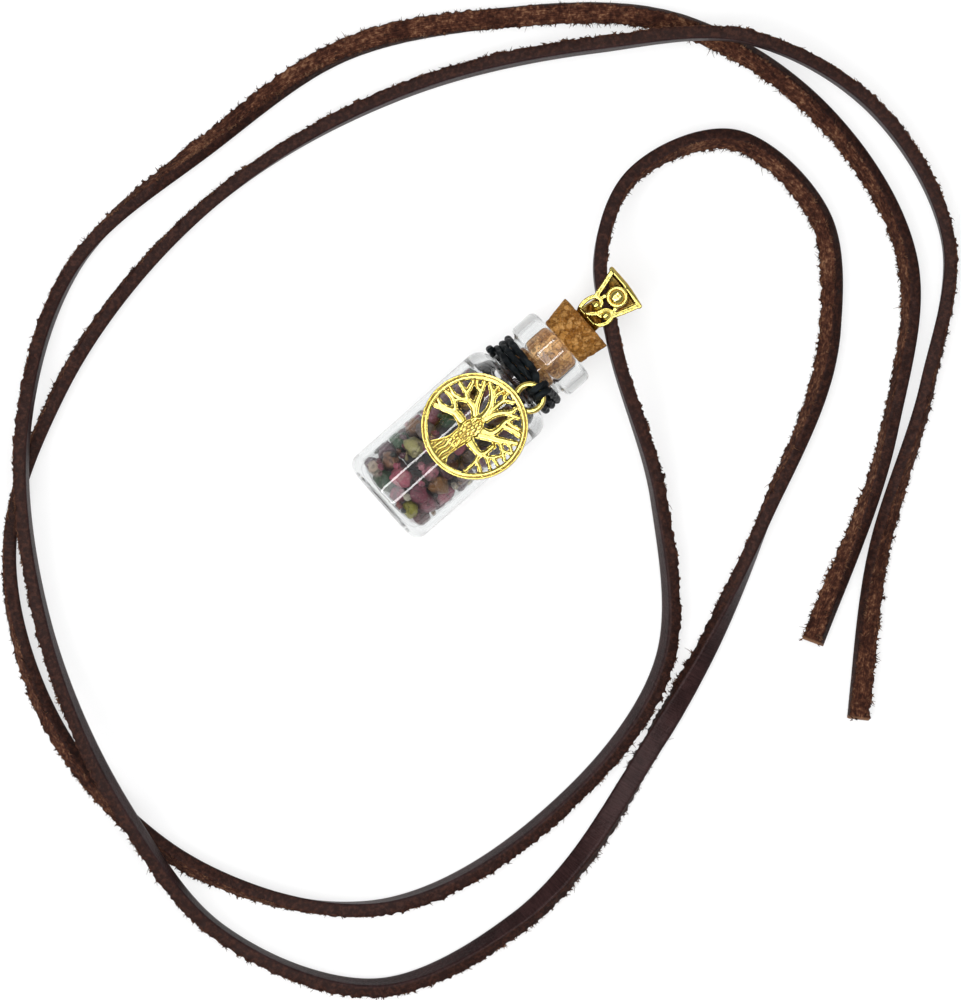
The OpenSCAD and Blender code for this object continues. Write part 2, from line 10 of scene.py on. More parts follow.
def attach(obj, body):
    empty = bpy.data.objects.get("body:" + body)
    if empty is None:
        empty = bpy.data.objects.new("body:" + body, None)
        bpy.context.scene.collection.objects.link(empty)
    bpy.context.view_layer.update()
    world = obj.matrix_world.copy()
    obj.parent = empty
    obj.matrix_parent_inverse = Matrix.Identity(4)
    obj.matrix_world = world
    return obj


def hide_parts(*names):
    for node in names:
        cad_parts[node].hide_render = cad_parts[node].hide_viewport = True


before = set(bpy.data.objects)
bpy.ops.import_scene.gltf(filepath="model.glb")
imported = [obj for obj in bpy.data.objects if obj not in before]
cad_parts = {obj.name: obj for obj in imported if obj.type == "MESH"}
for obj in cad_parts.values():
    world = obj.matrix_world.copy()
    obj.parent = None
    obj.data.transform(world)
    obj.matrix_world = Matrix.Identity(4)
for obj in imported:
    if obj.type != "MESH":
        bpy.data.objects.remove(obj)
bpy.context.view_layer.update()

mm = 0.001
fullTurn = 2 * math.pi
# The bottle's line: distances along it are measured from its base, which lies here in the frame
baseX = -23.5
axisZ = 7.5


def onBottle(x, y=0.0, z=0.0):
    return Vector((x + baseX, y, z + axisZ)) * mm


def smoothStep(low, high, value):
    t = min(1.0, max(0.0, (value - low) / (high - low)))
    return t * t * (3 - 2 * t)


# ---- Camera first: straight above the table, turned so that the pendant lies as in the photograph

camera = {
    "over": (-12.6, -9.0, 5.0),  # the point of the frame in the middle of the picture
    "turn": -41.5,
    "lens": 300.0,
    "seen": 142.9,  # millimetres along the picture's long side
}


def makeCamera():
    data = bpy.data.cameras.new("camera")
    data.lens = camera["lens"]
    data.sensor_width = 36.0
    data.clip_start, data.clip_end = 0.02, 20.0
    cam = bpy.data.objects.new("camera", data)
    away = camera["lens"] / data.sensor_width * camera["seen"]
    cam.location = (Vector(camera["over"]) + Vector((0, 0, away))) * mm
    cam.rotation_euler = (0, 0, math.radians(camera["turn"]))
    bpy.context.scene.collection.objects.link(cam)
    bpy.context.scene.camera = cam


makeCamera()
print("camera ready")


# ---- Mesh helpers

def addObject(name, mesh):
    piece = bpy.data.objects.new(name, mesh)
    bpy.context.scene.collection.objects.link(piece)
    return piece


def keepMesh(bm, name):
    mesh = bpy.data.meshes.new(name)
    bm.to_mesh(mesh)
    bm.free()
    mesh.shade_smooth()
    return addObject(name, mesh)


def settle(piece):
    # applies the modifiers to the mesh
    shape = piece.evaluated_get(bpy.context.evaluated_depsgraph_get())
    mesh = bpy.data.meshes.new_from_object(shape)
    piece.modifiers.clear()
    piece.data = mesh
    mesh.shade_smooth()
    return piece


def wrapTube(name, rings, marks=None):
    # a grid of quads wrapped round the rings and closed at both ends
    around, last = len(rings[0]), len(rings) - 1
    bm = bmesh.new()
    bm.loops.layers.uv.new("UVMap")
    layers = {key: bm.verts.layers.float.new(key) for key in (marks or {})}
    bmesh.ops.create_grid(bm, x_segments=last, y_segments=around, size=1, calc_uvs=True)
    for v in bm.verts:
        i, j = round((v.co.x + 1) / 2 * last), round((v.co.y + 1) / 2 * around) % around
        v.co = rings[i][j]
        for key, layer in layers.items():
            v[layer] = marks[key][j]
    bmesh.ops.remove_doubles(bm, verts=bm.verts, dist=1e-7)
    bmesh.ops.holes_fill(bm, edges=[e for e in bm.edges if e.is_boundary])
    bmesh.ops.recalc_face_normals(bm, faces=bm.faces)
    return keepMesh(bm, name)


def spinProfile(bm, profile, steps):
    # profile of (place along the bottle, radius), turned round the bottle's line
    verts = [bm.verts.new(onBottle(x, 0, r)) for x, r in profile]
    edges = [bm.edges.new(pair) for pair in zip(verts, verts[1:])]
    bmesh.ops.spin(bm, geom=verts + edges, cent=onBottle(0), axis=(1, 0, 0),
                   angle=fullTurn, steps=steps, use_merge=True)
    bmesh.ops.remove_doubles(bm, verts=bm.verts, dist=1e-6)
    bmesh.ops.recalc_face_normals(bm, faces=bm.faces)


def arcPoints(cx, cr, a, b, start, end, count):
    # arc in the plane of a profile, angles in degrees
    angles = [math.radians(start + (end - start) * i / count) for i in range(count + 1)]
    return [(cx + b * math.sin(t), cr + a * math.cos(t)) for t in angles]


def solidCopy(node, name):
    # a copy of a CAD node with its loose triangles joined
    bm = bmesh.new()
    bm.from_mesh(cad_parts[node].data)
    bmesh.ops.remove_doubles(bm, verts=bm.verts, dist=1e-6)
    return keepMesh(bm, name)


def softenCast(piece, voxel, rounds):
    # one skin over all the copy's parts, rounded as a casting is
    skin = piece.modifiers.new("skin", "REMESH")
    skin.mode, skin.voxel_size = "VOXEL", voxel * mm
    soft = piece.modifiers.new("soft", "SMOOTH")
    soft.factor, soft.iterations = 0.5, rounds
    return settle(piece)


def pushVertices(piece, amount):
    # moves each vertex along its normal by amount(place, normal) in millimetres
    mesh = piece.data
    moves = [v.normal * (amount(v.co / mm, v.normal) * mm) for v in mesh.vertices]
    for v, move in zip(mesh.vertices, moves):
        v.co += move
    mesh.update()


# ---- Materials

class Wire:
    # a node's output that can be used in sums: the maths becomes Math nodes
    def __init__(self, finish, socket):
        self.finish, self.socket = finish, socket

    def maths(self, operation, other, swap=False):
        pair = (other, self) if swap else (self, other)
        return self.finish.node("Math", {"operation": operation}, dict(enumerate(pair)))

    def __add__(self, other):
        return self.maths("ADD", other)

    def __sub__(self, other):
        return self.maths("SUBTRACT", other)

    def __rsub__(self, other):
        return self.maths("SUBTRACT", other, True)

    def __mul__(self, other):
        return self.maths("MULTIPLY", other)

    def __pow__(self, other):
        return self.maths("POWER", other)


class Finish:
    # one material with its node tree
    def __init__(self, name):
        self.material = bpy.data.materials.new(name)
        self.material.use_nodes = True
        self.tree = self.material.node_tree
        self.tree.nodes.clear()

    def node(self, kind, settings=None, sockets=None, output=0):
        made = self.tree.nodes.new("ShaderNode" + kind)
        for key, value in (settings or {}).items():
            if key == "stops":
                for i, (place, color) in enumerate(value):
                    stop = made.color_ramp.elements[i] if i < 2 else made.color_ramp.elements.new(place)
                    stop.position, stop.color = place, (*color, 1)
            else:
                setattr(made, key, value)
        for key, value in (sockets or {}).items():
            if isinstance(value, Wire):
                self.tree.links.new(value.socket, made.inputs[key])
            else:
                made.inputs[key].default_value = value
        return Wire(self, made.outputs[output])

    def place(self, scale=(1, 1, 1), source="Object"):
        at = self.node("TexCoord", output=source)
        return self.node("Mapping", {"vector_type": "POINT"}, {"Vector": at, "Scale": scale})

    def mark(self, name, output="Fac"):
        return self.node("Attribute", {"attribute_name": name}, output=output)

    def noise(self, at, scale, detail=3.0, rough=0.5, output=0, distortion=0.0):
        values = {"Vector": at, "Scale": scale, "Detail": detail, "Roughness": rough,
                  "Distortion": distortion}
        return self.node("TexNoise", None, values, output)

    def cells(self, at, scale, feature="F1", output="Distance"):
        return self.node("TexVoronoi", {"feature": feature}, {"Vector": at, "Scale": scale}, output)

    def span(self, value, low, high, to=(0.0, 1.0)):
        # eases from the first of to at low up to the second at high
        values = {"Value": value, "From Min": low, "From Max": high, "To Min": to[0], "To Max": to[1]}
        return self.node("MapRange", {"interpolation_type": "SMOOTHSTEP"}, values)

    def axis(self, at, letter):
        return self.node("SeparateXYZ", None, {"Vector": at}, output=letter)

    def ramp(self, value, stops):
        return self.node("ValToRGB", {"stops": stops}, {"Fac": value})

    def blend(self, amount, a, b):
        # the numbers are the Mix node's color sockets: factor, first, second and result
        a, b = [c if isinstance(c, Wire) else (*c, 1) for c in (a, b)]
        return self.node("Mix", {"data_type": "RGBA"}, {0: amount, 6: a, 7: b}, output=2)

    def bump(self, height, strength, distance):
        return self.node("Bump", None, {"Height": height, "Strength": strength, "Distance": distance * mm})

    def close(self, sockets, clear=None):
        shader = self.node("BsdfPrincipled", None, sockets)
        if clear:
            # clear glass lets the light of the lamps through to what is behind it
            shade = self.node("LightPath", output="Is Shadow Ray")
            through = self.node("BsdfTransparent", None, {"Color": (*clear, 1)})
            shader = self.node("MixShader", None, {0: shade, 1: shader, 2: through})
        out = self.tree.nodes.new("ShaderNodeOutputMaterial")
        self.tree.links.new(shader.socket, out.inputs["Surface"])
        return self.material


def wear(piece, material):
    piece.data.materials.clear()
    piece.data.materials.append(material)


# ---- Leather strap: the cord, on the route of the CAD part

strap = {
    "width": 3.0,
    "thick": 2.0,
    "corner": 0.3,
    "ringStep": 0.4,
    "around": 28,
    "eye": 18.85,
    "turn": -41.5,
    "length": 0.969,
    "rough": 0.13,  # depth of the flesh side's tufts
    "fray": 0.34,  # waves of the cut edges, coarse and fine
    "frayFine": 0.22,
    "tufts": 3850,
    "tuftFibres": 3,
    "fibreSize": 0.05,
    "edgeShare": 0.8,  # how many of the tufts stand on the two edges
    "thickShare": 0.5,
    "thickFibre": (2.2, 0.25, 0.5),  # times the size, then the least and the most reach
    "thinFibre": (1.0, 0.35, 0.85),
    "longShare": 0.03,
    "longer": 1.8,
    # x to the photograph's right, y up it, lift above lying on the table, angle of the rough side
    "route": [
        (30, -48, 0, 24), (41, -17.5, 0, 76), (43.5, 7, 0, 62), (31, 28, 0, 45), (11, 40.5, 0, 20),
        (-15, 41.5, 0, 2), (-37, 37, 0, -20), (-56, 24, 0, -50), (-76.5, 5, 0, -96), (-83, -18, 4, -98),
        (-80.5, -44, 2.3, -102), (-68, -73, 4.6, -114), (-55, -89.5, 0.3, -103), (-32, -97.5, 0, -113),
        (-12, -88, 0, -133), (8, -61, 0, -190), (23, -30.5, 0, -270), (32.5, -3, 0, -309), (31, 13, 0, -320),
        (18.5, 24, 0.7, -302), (3.5, 18, 3.4, -277), (-0.5, 6.5, 5.7, -267), (1.3, -4.4, 5.9, -266),
        (8, -27.5, 1.2, -255), (9, -50, 0, -243), (-6.5, -72, 0, -245), (-32, -86, 0, -260),
        (-60, -79.5, 0, -296), (-79, -59.5, 0, -300), (-85, -33, 0, -272), (-78, -12, 0, -280),
        (-57, 14.5, 0, -273), (-29, 31, 0, -261), (-1, 37.5, 2.9, -260), (21, 38.5, 3.5, -266),
        (38, 29.5, 0.5, -262), (49.5, 9.5, 0, -268), (46.5, -11, 0, -280), (39.5, -35, 0, -310),
        (36.5, -59, 0, -352)],
}


def smoothRoute(points, step):
    # a smooth line through the points, with a new point about every step
    points = [Vector(p) for p in points]
    gaps = [max((b.xyz - a.xyz).length, 1e-3) for a, b in zip(points, points[1:])]
    last = len(points) - 1
    slopes = []
    for i in range(last + 1):
        if i == 0:
            slopes.append((points[1] - points[0]) / gaps[0])
        elif i == last:
            slopes.append((points[i] - points[i - 1]) / gaps[i - 1])
        else:
            before, after = gaps[i - 1], gaps[i]
            back, ahead = points[i] - points[i - 1], points[i + 1] - points[i]
            slopes.append((back * after / before + ahead * before / after) / (before + after))
    made = []
    for i in range(last):
        count = max(1, round(gaps[i] / step))
        for k in range(count):
            t = k / count
            made.append(points[i] * ((1 + 2 * t) * (1 - t) ** 2) + slopes[i] * (gaps[i] * t * (1 - t) ** 2)
                        + points[i + 1] * (t * t * (3 - 2 * t)) - slopes[i + 1] * (gaps[i] * t * t * (1 - t)))
    return made + [points[last]]


def roundedSection(width, thick, corner, count):
    # points and outward directions round a flat section, the rough side at the top
    flat, high, cuts = width / 2 - corner, thick / 2 - corner, 8
    line = []
    for cx, cy, start in ((flat, high, 0), (-flat, high, 90), (-flat, -high, 180), (flat, -high, 270)):
        for k in range(cuts + 1):
            t = math.radians(start + 90 * k / cuts)
            spot = Vector((cx + corner * math.cos(t), cy + corner * math.sin(t)))
            line.append((spot, Vector((math.cos(t), math.sin(t)))))
    line.append(line[0])
    steps = [(b[0] - a[0]).length for a, b in zip(line, line[1:])]
    whole, made, passed, i = sum(steps), [], 0.0, 0
    for k in range(count):
        want = whole * k / count
        while passed + steps[i] < want:
            passed += steps[i]
            i += 1
        t = (want - passed) / max(steps[i], 1e-9)
        made.append((line[i][0].lerp(line[i + 1][0], t), line[i][1].lerp(line[i + 1][1], t)))
    return made


def strapRings():
    route = smoothRoute(strap["route"], strap["ringStep"])
    w, t = strap["width"], strap["thick"]
    middles = []
    for x, y, lift, face in route:
        tilt = math.radians(face)
        high = (w * abs(math.sin(tilt)) + t * abs(math.cos(tilt))) / 2
        middles.append(Vector((x, y, high + max(lift, 0))))
    turned = Matrix.Rotation(math.radians(strap["turn"]), 4, "Z")
    place = Matrix.Translation((strap["eye"], 0, 0)) @ turned
    section = roundedSection(w, t, strap["corner"], strap["around"])
    rings, frames = [], []
    last = len(middles) - 1
    for i, middle in enumerate(middles):
        along = (middles[min(i + 1, last)] - middles[max(i - 1, 0)]).normalized()
        left = Vector((0, 0, 1)).cross(along).normalized()
        up = along.cross(left)
        tilt = math.radians(route[i][3])
        rough = up * math.cos(tilt) + left * math.sin(tilt)
        edge = along.cross(rough)
        wide = 1 + 0.03 * noise.noise(middle * 0.05)
        ring = []
        for q, out in section:
            flesh = smoothStep(0.3, 0.9, out.y)
            side = 1 - abs(out.y)
            spot = middle + edge * q.x * wide + rough * q.y
            tuft = noise.noise(Vector((i * 0.14, q.x * 2.3, 1.7 + q.y)))
            tuft += 0.6 * noise.noise(Vector((i * 0.4, q.x * 5, 9.1)))
            crease = noise.noise(Vector((i * 0.035, q.x * 0.8, q.y * 0.8 + 5)))
            push = -strap["rough"] * flesh * (0.5 + tuft) * 0.8 - 0.05 * side * abs(tuft)
            push = push + 0.03 * crease - 0.02
            # the two cut edges of the rough side are ragged, each in its own way
            corner = smoothStep(0.5, 1.0, abs(q.x) / (w / 2)) * smoothStep(-0.2, 0.8, q.y / (t / 2))
            apart = 7.5 * (q.x > 0)
            fray = strap["fray"] * noise.noise(Vector((i * 0.7, apart, 3.3)))
            fray += strap["frayFine"] * noise.noise(Vector((i * 1.9, apart, 8)))
            move = min(push, 0.02) + corner * fray
            ring.append(place @ (spot + (edge * out.x + rough * out.y) * move) * mm)
        rings.append(ring)
        frames.append((place @ middle * mm, *[place.to_3x3() @ way for way in (edge, rough, along)]))
    return rings, frames, section


rings, frames, section = strapRings()
strapPiece = wrapTube("strap", rings, {
    "flesh": [smoothStep(0.35, 0.95, out.y) for q, out in section],
    "side": [1 - smoothStep(0.1, 0.6, abs(out.y)) for q, out in section]})
print("strap made, rings:", len(rings))


def growFibres():
    # tufts of the rough side, most of them along its two edges
    luck = random.Random(11)
    data = bpy.data.curves.new("strapFibres", "CURVE")
    data.dimensions = "3D"
    data.bevel_depth, data.bevel_resolution = strap["fibreSize"] * mm, 0
    flesh = [j for j, (q, out) in enumerate(section) if out.y > 0.5]
    edges = [j for j in flesh if abs(section[j][0].x) > strap["width"] / 2 - 0.5]
    shapes = {True: strap["thickFibre"], False: strap["thinFibre"]}
    for _ in range(strap["tufts"]):
        i = luck.randrange(len(rings))
        j = luck.choice(edges if luck.random() < strap["edgeShare"] else flesh)
        edge, rough, along = frames[i][1:]
        q, out = section[j]
        side = 1 if q.x > 0 else -1
        root = Vector(rings[i][j])
        away = edge * (out.x + side * luck.uniform(0.4, 1.6)) + rough * out.y * luck.uniform(-0.2, 0.9)
        for _ in range(strap["tuftFibres"]):
            lean = away.normalized() + along * luck.uniform(-0.9, 0.9) + rough * luck.uniform(-0.4, 0.4)
            wide, least, most = shapes[luck.random() < strap["thickShare"]]
            reach = luck.uniform(least, most)
            reach *= strap["longer"] if luck.random() < strap["longShare"] else 1
            bend = rough * luck.uniform(-0.7, 0.2) + along * luck.uniform(-0.7, 0.7)
            bend += Vector((0, 0, luck.uniform(-0.5, 0.1)))
            start = root + along * luck.uniform(-0.12, 0.12) * mm - away.normalized() * 0.06 * mm
            spline = data.splines.new("POLY")
            spline.points.add(2)
            for n in range(3):
                t = n / 2
                spot = start + (lean.normalized() * reach * t + bend * reach * 0.5 * t * t) * mm
                spot.z = max(spot.z, 0.03 * mm)
                spline.points[n].co = (*spot, 1)
                spline.points[n].radius = wide * (1.2 - 0.95 * t)
    curve = addObject("fibreCurve", data)
    mesh = bpy.data.meshes.new_from_object(curve.evaluated_get(bpy.context.evaluated_depsgraph_get()))
    bpy.data.objects.remove(curve)
    return addObject("strapFibres", mesh)


fibrePiece = growFibres()
print("fibres grown")


def leatherFinish():
    f = Finish("leather")
    at = f.place()
    flesh, side = f.mark("flesh"), f.mark("side")
    mottle = f.noise(at, 260, 4, 0.6)
    fine = f.noise(at, 1700, 3, 0.6)
    strand = f.noise(f.place((1, 0.1, 1), "UV"), 650, 3, 0.65)
    crease = f.noise(f.place((1, 0.0009, 1), "UV"), 3400, 3, 0.6)
    grain = f.cells(at, 2600)
    smooth = f.span(mottle * 0.5 + crease * 0.5, 0.35, 0.65)
    smooth = f.blend(smooth, (0.014, 0.0056, 0.0056), (0.034, 0.0152, 0.0150))
    cut = f.blend(f.span(fine, 0.4, 0.7), (0.014, 0.0050, 0.0038), (0.040, 0.0140, 0.0088))
    tufts = f.ramp(f.span(mottle * 0.35 + strand * 0.35 + fine * 0.5, 0.42, 0.78),
                   [(0.0, (0.012, 0.0036, 0.0026)), (0.4, (0.040, 0.0130, 0.0075)),
                    (0.75, (0.090, 0.034, 0.018)), (1.0, (0.23, 0.115, 0.062))])
    shade = f.blend(flesh, f.blend(side, smooth, cut), tufts)
    along = f.axis(f.node("TexCoord", output="UV"), "X")
    ends = f.span(along * (1 - along), 0.0006, 0.0001)  # the two cut ends of the strap
    shade = f.blend(ends, shade, (0.20, 0.105, 0.06))
    height = (grain * 0.4 + crease) * (1 - flesh) + fine * flesh * 1.5 + strand * flesh
    dull = f.span(flesh + side * 0.35 + mottle * 0.1, 0.0, 1.0, (0.42, 0.95))
    return f.close({"Base Color": shade, "Roughness": dull, "Specular IOR Level": 0.09,
                    "Normal": f.bump(height, 0.7, 0.12)})


def fibreFinish():
    f = Finish("fibre")
    tone = f.noise(f.place(), 500, 2)
    shade = f.ramp(tone, [(0.3, (0.016, 0.0055, 0.004)), (0.5, (0.060, 0.024, 0.013)),
                          (0.75, (0.19, 0.10, 0.056))])
    return f.close({"Base Color": shade, "Roughness": f.span(tone, 0.2, 0.8, (0.8, 0.95)),
                    "Specular IOR Level": 0.1})


wear(strapPiece, leatherFinish())
wear(fibrePiece, fibreFinish())
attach(strapPiece, "root")
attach(fibrePiece, "root")
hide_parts("leather_strap")
print("strap finished")


# ---- Glass bottle

bottle = {
    "radius": 7.5, "wall": 1.05, "base": 1.0, "body": 23.2, "baseRound": 1.8, "shoulder": 2.4,
    "neckRadius": 5.0, "neck": 4.4, "lipRadius": 6.25, "lip": 4.4, "lipRound": 0.9, "mouthRound": 0.4,
    "bore": 3.6, "steps": 160,
}


def glassProfile():
    b = bottle
    neckX = b["body"] + b["shoulder"]
    lipX = neckX + b["neck"]
    mouthX = lipX + b["lip"]
    inner, bore = b["radius"] - b["wall"], b["bore"]
    baseRound, lipRound, mouthRound = b["baseRound"], b["lipRound"], b["mouthRound"]
    outside = [(0.0, 0.0)] + arcPoints(baseRound, b["radius"] - baseRound, baseRound, baseRound, -90, 0, 12)
    outside += [(b["body"] * t / 6, b["radius"]) for t in range(1, 6)]
    outside += arcPoints(b["body"], b["neckRadius"], b["radius"] - b["neckRadius"], b["shoulder"], 0, 90, 20)
    outside += [(neckX + 0.25, b["neckRadius"]), (lipX - 0.3, b["neckRadius"])]
    outside += arcPoints(lipX + lipRound, b["lipRadius"] - lipRound, lipRound, lipRound, -90, 0, 8)
    outside += arcPoints(mouthX - lipRound, b["lipRadius"] - lipRound, lipRound, lipRound, 0, 90, 8)
    inside = arcPoints(mouthX - mouthRound, bore + mouthRound, -mouthRound, mouthRound, 90, 0, 5)
    deep, cuts = b["shoulder"] + b["wall"], 16
    for i in range(cuts + 1):
        opened = (inner - bore) * (1 - math.cos(math.pi * i / cuts)) / 2
        inside.append((neckX - deep * i / cuts, bore + opened))
    inRound = baseRound - b["wall"] / 2
    inside += arcPoints(b["base"] + inRound, inner - inRound, inRound, inRound, 0, -90, 8)
    return outside + inside + [(b["base"], 0.0)]


def makeBottle():
    bm = bmesh.new()
    spinProfile(bm, glassProfile(), bottle["steps"])
    return keepMesh(bm, "bottleGlass")


def glassFinish():
    f = Finish("glass")
    at = f.place()
    drawn = f.noise(f.place((0.25, 1, 1)), 180, 2)
    marks = f.noise(at, 900, 4)
    shade = f.blend(f.span(marks, 0.3, 0.8), (0.80, 0.813, 0.811), (0.75, 0.766, 0.763))
    return f.close({"Base Color": shade, "Roughness": f.span(marks, 0.5, 0.8, (0.0, 0.03)),
                    "IOR": 1.5, "Transmission Weight": 1.0,
                    "Normal": f.bump(drawn, 0.05, 0.25)}, (0.99, 0.99, 0.99))


glassPiece = makeBottle()
wear(glassPiece, glassFinish())
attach(glassPiece, "root")
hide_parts("glass_bottle")
print("bottle made")


# ---- Stone chips

chips = {
    "grow": 1.16,
    "room": 6.36,  # free radius inside the glass
    "neckRoom": 3.5,
    "narrow": (22.1, 25.6),  # from here to here the free radius shrinks to the neck's
    "floor": 1.06,  # where the filling starts, just above the glass base
    "corner": (2.28, 5.12, 1.24),  # the rounded corner of the base inside: end, radius of its middle, its own
    "toBase": 0.35,
    "crumbs": 190,
    "crumbRoom": 1.3,
    "crumbLong": (0.35, 0.85),
    "crumbThin": (0.22, 0.5),
    # dark is the stones' darkest colour: their dark specks, and the painted shade deep in the bottle
    "dark": (0.02, 0.012, 0.012),
    "palette": {
        "rose": (0.18, 0.030, 0.055), "pink": (0.33, 0.072, 0.115), "wine": (0.075, 0.010, 0.017),
        "brick": (0.14, 0.024, 0.020), "green": (0.016, 0.055, 0.023), "blackGreen": (0.005, 0.013, 0.011),
        "cream": (0.42, 0.38, 0.27), "grey": (0.16, 0.125, 0.12), "lime": (0.24, 0.22, 0.03),
        "amber": (0.18, 0.080, 0.02), "mauve": (0.10, 0.042, 0.058), "peach": (0.28, 0.135, 0.08),
        "sand": (0.35, 0.28, 0.11)},
    "share": [("rose", 6), ("pink", 4), ("wine", 5), ("brick", 3), ("green", 2), ("blackGreen", 3),
              ("cream", 1), ("grey", 2), ("amber", 2), ("mauve", 6), ("peach", 1)],
    # the stones that stand out near the top of the glass: colour, place along the bottle, place across it
    "shown": [("cream", 2.8, 3.7), ("pink", 4.6, 3.7), ("peach", 6.3, 3.8), ("blackGreen", 7.1, 5.6),
              ("green", 8.6, 4.1), ("pink", 12.3, 6.0), ("sand", 7.7, 1.9), ("mauve", 2.2, 5.6),
              ("cream", 2.7, 0.2), ("blackGreen", 4.4, 0.3), ("pink", 5.8, 0.7), ("pink", 7.9, -0.6),
              ("rose", 2.4, -1.4), ("lime", 2.1, -3.1), ("brick", 6.0, -2.8), ("rose", 4.4, -3.0),
              ("amber", 8.5, -2.9), ("wine", 10.5, -3.4), ("green", 14.4, 2.3), ("grey", 12.6, 3.4),
              ("amber", 12.3, -2.6), ("mauve", 9.8, 5.4), ("grey", 13.0, -4.0), ("wine", 3.2, -5.2),
              ("pink", 8.8, -5.2)],
}


def insideGlass(place):
    # keeps a point of the filling behind the inner wall
    q = place / mm - Vector((baseX, 0, axisZ))
    q.x = max(q.x, chips["floor"])
    narrow = smoothStep(*chips["narrow"], q.x)
    room = chips["room"] + (chips["neckRoom"] - chips["room"]) * narrow
    end, middle, radius = chips["corner"]
    low = max(0.0, end - q.x)
    room = min(room, middle + math.sqrt(max(0.0, radius ** 2 - low ** 2)))
    r = math.hypot(q.y, q.z)
    if r > room:
        q.y, q.z = q.y * room / r, q.z * room / r
    return (q + Vector((baseX, 0, axisZ))) * mm


def chipIslands(bm):
    # groups of joined vertices, in the order of the mesh
    seen, groups = set(), []
    for start in bm.verts:
        if start.index in seen:
            continue
        group, queue = [], [start]
        seen.add(start.index)
        while queue:
            v = queue.pop()
            group.append(v)
            for e in v.link_edges:
                w = e.other_vert(v)
                if w.index not in seen:
                    seen.add(w.index)
                    queue.append(w)
        groups.append(group)
    return groups


def makeChips():
    luck = random.Random(23)
    bm = bmesh.new()
    bm.from_mesh(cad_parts["stone_chips"].data)
    bmesh.ops.remove_doubles(bm, verts=bm.verts, dist=1e-6)
    bm.verts.index_update()
    tone = bm.verts.layers.float_color.new("stoneColor")
    spark = bm.verts.layers.float.new("polish")
    crease = bm.edges.layers.float.new("crease_edge")
    groups = chipIslands(bm)
    middles = [sum((v.co for v in g), Vector()) / len(g) for g in groups]
    near = KDTree(len(middles))
    for i, middle in enumerate(middles):
        near.insert(middle, i)
    near.balance()
    while len(groups) < len(middles) + chips["crumbs"]:
        turn, r, x = luck.uniform(0, fullTurn), luck.uniform(5.2, 6.2), luck.uniform(1.9, 22.0)
        if luck.random() < 0.3:
            x, r = luck.uniform(21.5, 26.4), luck.uniform(2.2, 6.2)
        spot = insideGlass(onBottle(x, r * math.cos(turn), r * math.sin(turn)))
        if near.find(spot)[2] < chips["crumbRoom"] * mm:
            continue
        spans = (chips["crumbLong"], chips["crumbThin"], chips["crumbThin"])
        size = [luck.uniform(*span) * mm for span in spans]
        turned = Euler([luck.uniform(0, fullTurn) for _ in range(3)]).to_matrix().to_4x4()
        place = Matrix.Translation(spot) @ turned @ Matrix.Diagonal((*size, 1))
        groups.append(bmesh.ops.create_icosphere(bm, subdivisions=1, radius=1, matrix=place)["verts"])
    names = [n for n, share in chips["share"] for _ in range(share)]
    middles = [sum((v.co for v in g), Vector()) / len(g) for g in groups]
    chosen = [luck.choice(names) for _ in groups]
    for name, x, y in chips["shown"]:
        spot = onBottle(x, y, math.sqrt(max(0.0, 5.3 ** 2 - y * y)))
        nearest = sorted(range(len(groups)), key=lambda k: (middles[k] - spot).length)
        chosen[nearest[0]] = name
        if nearest[0] >= len(groups) - chips["crumbs"]:
            chosen[next(k for k in nearest if k < len(groups) - chips["crumbs"])] = name
    for group, middle, name in zip(groups, middles, chosen):
        stretch = luck.uniform(0.82, 1.08)
        shift = Vector((-chips["toBase"] * smoothStep(8.0, 2.0, middle.x / mm - baseX) * mm, 0, 0))
        color = Vector(chips["palette"][name]) * luck.uniform(0.65, 1.1)
        color = [min(0.9, max(0.008, c * luck.uniform(0.9, 1.1))) for c in color]
        sharp, shine = luck.uniform(0.3, 0.95), luck.random()
        for v in group:
            v.co = insideGlass(middle + shift + (v.co - middle) * chips["grow"] * stretch)
            v[tone], v[spark] = (*color, 1), shine
            for e in v.link_edges:
                e[crease] = sharp
    piece = keepMesh(bm, "chips")
    rounder = piece.modifiers.new("round", "SUBSURF")
    rounder.levels = rounder.render_levels = 2
    settle(piece)

    def uneven(p, n):
        return 0.2 * noise.noise(p * 0.9) + 0.15 * noise.noise(p * 2.3) + 0.09 * noise.noise(p * 5)

    pushVertices(piece, uneven)
    for v in piece.data.vertices:
        v.co = insideGlass(v.co)
    return piece


def stoneFinish():
    f = Finish("stone")
    at = f.place()
    own, shine = f.mark("stoneColor", "Color"), f.mark("polish")
    cloud = f.noise(at, 420, 4, 0.6)
    vein = f.noise(at, 800, 5, 0.7, distortion=1.2)
    grit = f.noise(at, 2600, 4, 0.7)
    shade = f.blend(f.span(cloud, 0.5, 0.72) * 0.5, own, (0.44, 0.31, 0.28))
    shade = f.blend(f.span(vein, 0.5, 0.64) * 0.75, shade, (0.026, 0.014, 0.015))
    shade = f.blend(f.span(grit, 0.54, 0.72) * 0.4, shade, (0.48, 0.38, 0.34))
    shade = f.blend(f.span(grit, 0.46, 0.28) * 0.5, shade, chips["dark"])
    # painted shade: the stones deep in the bottle, in the gaps behind the outer ones, get darker towards its
    # middle
    across, height = f.axis(at, "Y"), f.axis(at, "Z") - axisZ * mm
    reach = (across * across + height * height) ** 0.5
    shade = f.blend(f.span(reach, 0.0059, 0.0043) * 0.75, shade, chips["dark"])
    return f.close({"Base Color": shade, "Roughness": f.span(shine + cloud * 0.4, 0.2, 1.2, (0.5, 0.16)),
                    "Specular IOR Level": 0.5, "Normal": f.bump(vein * 0.7 + grit * 0.5, 0.55, 0.14)})


chipPiece = makeChips()
wear(chipPiece, stoneFinish())
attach(chipPiece, "root")
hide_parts("stone_chips")
print("chips made:", len(chipPiece.data.vertices))


# ---- Cork stopper

